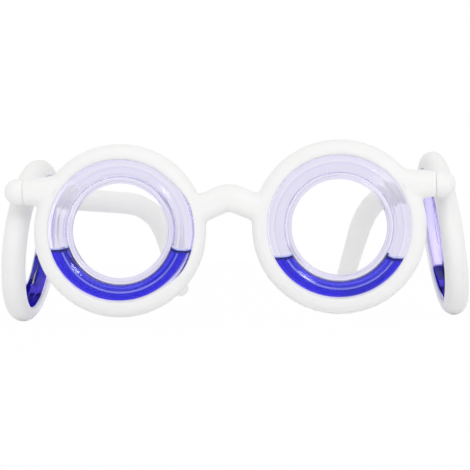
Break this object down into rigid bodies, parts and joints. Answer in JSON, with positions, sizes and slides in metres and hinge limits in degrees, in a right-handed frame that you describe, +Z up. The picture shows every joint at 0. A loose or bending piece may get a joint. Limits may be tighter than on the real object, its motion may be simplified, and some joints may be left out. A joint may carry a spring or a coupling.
{
  "type": "anti-motion sickness glasses",
  "caption": "Lens-free round glasses in soft white plastic: clear hollow rings, part filled with blue liquid, sit before the eyes and beside the temples, on folding arms.",
  "frame": {"origin": "the nose saddle: middle of the bridge's underside, in the mid-plane of the eye rings", "axes": "+X to the right seen from the front, +Y back along the arms towards the ears, +Z up"},
  "size_m": [0.1434, 0.129, 0.0533],
  "materials": {
    "white": "soft satin moulded elastomer",
    "clear": "polished, faint lilac",
    "liquid": "blue dyed liquid",
    "pin": "drawn wire"
  },
  "bodies": {
    "front": {"front_frame": "white", "hinge_pin_left": "pin", "hinge_pin_right": "pin", "front_left_outer_shell": "clear", "front_left_inner_shell": "clear", "front_left_fill_plug": "clear", "front_right_outer_shell": "clear", "front_right_inner_shell": "clear", "front_right_fill_plug": "clear"},
    "temple_left": {"temple_left": "white", "side_left_outer_shell": "clear", "side_left_inner_shell": "clear", "side_left_fill_plug": "clear"},
    "temple_right": {"temple_right": "white", "side_right_outer_shell": "clear", "side_right_inner_shell": "clear", "side_right_fill_plug": "clear"},
    "liquid_front_left": {"front_left_liquid": "liquid"},
    "liquid_front_right": {"front_right_liquid": "liquid"},
    "liquid_side_left": {"side_left_liquid": "liquid"},
    "liquid_side_right": {"side_right_liquid": "liquid"}
  },
  "joints": [
    {"name": "temple_left_fold", "type": "hinge", "parent": "front", "child": "temple_left", "pos_m": [-0.0614, 0.0062, 0.0072], "axis": [0, 0, -1], "range_deg": [0, 59]},
    {"name": "temple_right_fold", "type": "hinge", "parent": "front", "child": "temple_right", "pos_m": [0.0614, 0.0062, 0.0072], "axis": [0, 0, 1], "range_deg": [0, 76]},
    {"name": "liquid_front_left_flow", "type": "hinge", "parent": "front", "child": "liquid_front_left", "pos_m": [-0.0325, 0, -0.0049], "axis": [0, 1, 0], "continuous": true},
    {"name": "liquid_front_right_flow", "type": "hinge", "parent": "front", "child": "liquid_front_right", "pos_m": [0.0325, 0, -0.0049], "axis": [0, 1, 0], "continuous": true},
    {"name": "liquid_side_left_flow", "type": "hinge", "parent": "temple_left", "child": "liquid_side_left", "pos_m": [-0.0647, 0.03325, -0.007], "axis": [-0.9892, 0.0518, 0.1374], "continuous": true},
    {"name": "liquid_side_right_flow", "type": "hinge", "parent": "temple_right", "child": "liquid_side_right", "pos_m": [0.0647, 0.03325, -0.007], "axis": [0.9892, 0.0518, 0.1374], "continuous": true}
  ]
}
